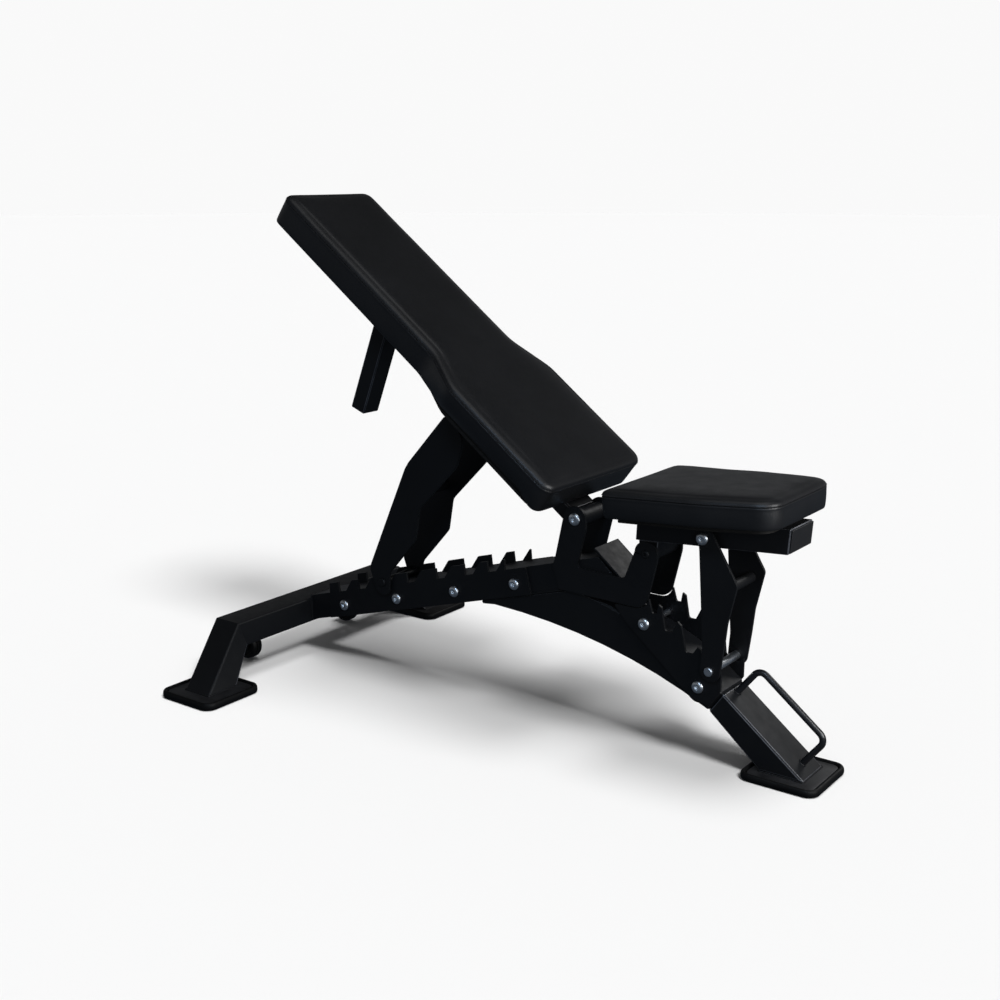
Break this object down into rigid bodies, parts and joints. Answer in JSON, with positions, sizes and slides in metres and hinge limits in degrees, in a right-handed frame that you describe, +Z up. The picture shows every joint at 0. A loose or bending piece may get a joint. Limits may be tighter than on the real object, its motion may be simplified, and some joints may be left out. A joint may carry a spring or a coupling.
{
  "type": "adjustable weight bench",
  "caption": "Incline weight bench with a T-shaped steel base, ladder-adjusted padded backrest and tilting seat, transport wheels and a lift handle.",
  "frame": {"origin": "on the floor under the middle of the bench", "axes": "+X forward to the front foot and lift handle, +Y across the bench to its left, +Z up"},
  "size_m": [1.2566, 0.807, 0.9503],
  "materials": {
    "frame_steel": "matt black powder coat",
    "zinc_hardware": "bright zinc plate",
    "upholstery": "semi-gloss black synthetic leather with fine grain",
    "backing_board": "black stained plywood",
    "rubber": "matt black rubber"
  },
  "bodies": {
    "frame": {"rear_cross_tube": "frame_steel", "rear_leg_l": "frame_steel", "rear_leg_r": "frame_steel", "spine_tube": "frame_steel", "spine_end_plate": "frame_steel", "arch_beam": "frame_steel", "front_leg_tube": "frame_steel", "lift_handle": "frame_steel", "back_ladder_l": "frame_steel", "back_ladder_r": "frame_steel", "hub_plate_l": "frame_steel", "hub_plate_r": "frame_steel", "seat_ladder_l": "frame_steel", "seat_ladder_r": "frame_steel", "wheel_bracket_l": "frame_steel", "wheel_bracket_r": "frame_steel", "front_foot_plate": "frame_steel", "rear_foot_l_plate": "frame_steel", "rear_foot_r_plate": "frame_steel", "front_foot_rubber": "rubber", "rear_foot_l_rubber": "rubber", "rear_foot_r_rubber": "rubber", "ladder_bolt_1": "zinc_hardware", "ladder_bolt_2": "zinc_hardware", "ladder_bolt_3": "zinc_hardware", "ladder_bolt_4": "zinc_hardware", "seat_ladder_bolt_1": "zinc_hardware", "seat_ladder_bolt_2": "zinc_hardware", "back_hinge_bolt": "zinc_hardware", "seat_hinge_bolt": "frame_steel", "wheel_axle_l": "zinc_hardware", "wheel_axle_r": "zinc_hardware"},
    "backrest": {"back_pad": "upholstery", "back_board": "backing_board", "back_rail": "frame_steel", "back_hinge_sleeve": "frame_steel", "back_post": "frame_steel", "back_strut_bolt": "zinc_hardware", "back_strut_spacer_l": "zinc_hardware", "back_strut_spacer_r": "zinc_hardware"},
    "back_strut": {"back_strut_plate_l": "frame_steel", "back_strut_plate_r": "frame_steel", "back_strut_tube": "frame_steel", "back_strut_rod": "frame_steel"},
    "seat": {"seat_pad": "upholstery", "seat_board": "backing_board", "seat_tube": "frame_steel", "seat_tube_cap": "rubber", "seat_hinge_lug": "frame_steel", "seat_strut_bolt": "zinc_hardware"},
    "seat_strut": {"seat_strut_plate_l": "frame_steel", "seat_strut_plate_r": "frame_steel", "seat_strut_tube": "frame_steel", "seat_strut_rod": "zinc_hardware"},
    "wheel_left": {"wheel_l": "rubber"},
    "wheel_right": {"wheel_r": "rubber"}
  },
  "joints": [
    {"name": "backrest_hinge", "type": "hinge", "parent": "frame", "child": "backrest", "pos_m": [0.14175, 0, 0.394], "axis": [0, 1, 0], "range_deg": [0, 40]},
    {"name": "back_strut_hinge", "type": "hinge", "parent": "backrest", "child": "back_strut", "pos_m": [-0.10425, 0, 0.565], "axis": [0, -1, 0], "range_deg": [0, 38.8]},
    {"name": "seat_hinge", "type": "hinge", "parent": "frame", "child": "seat", "pos_m": [0.28775, 0, 0.354], "axis": [0, -1, 0], "range_deg": [0, 17]},
    {"name": "seat_strut_hinge", "type": "hinge", "parent": "seat", "child": "seat_strut", "pos_m": [0.39975, 0, 0.402], "axis": [0, 1, 0], "range_deg": [0, 13.6]},
    {"name": "wheel_left_spin", "type": "hinge", "parent": "frame", "child": "wheel_left", "pos_m": [-0.59925, 0.15, 0.0325], "axis": [0, 1, 0], "continuous": true},
    {"name": "wheel_right_spin", "type": "hinge", "parent": "frame", "child": "wheel_right", "pos_m": [-0.59925, -0.15, 0.0325], "axis": [0, 1, 0], "continuous": true}
  ],
  "couplings": [
    {"joint": "back_strut_hinge", "follows": "backrest_hinge", "ratio": 0.97},
    {"joint": "seat_strut_hinge", "follows": "seat_hinge", "ratio": 0.8}
  ]
}
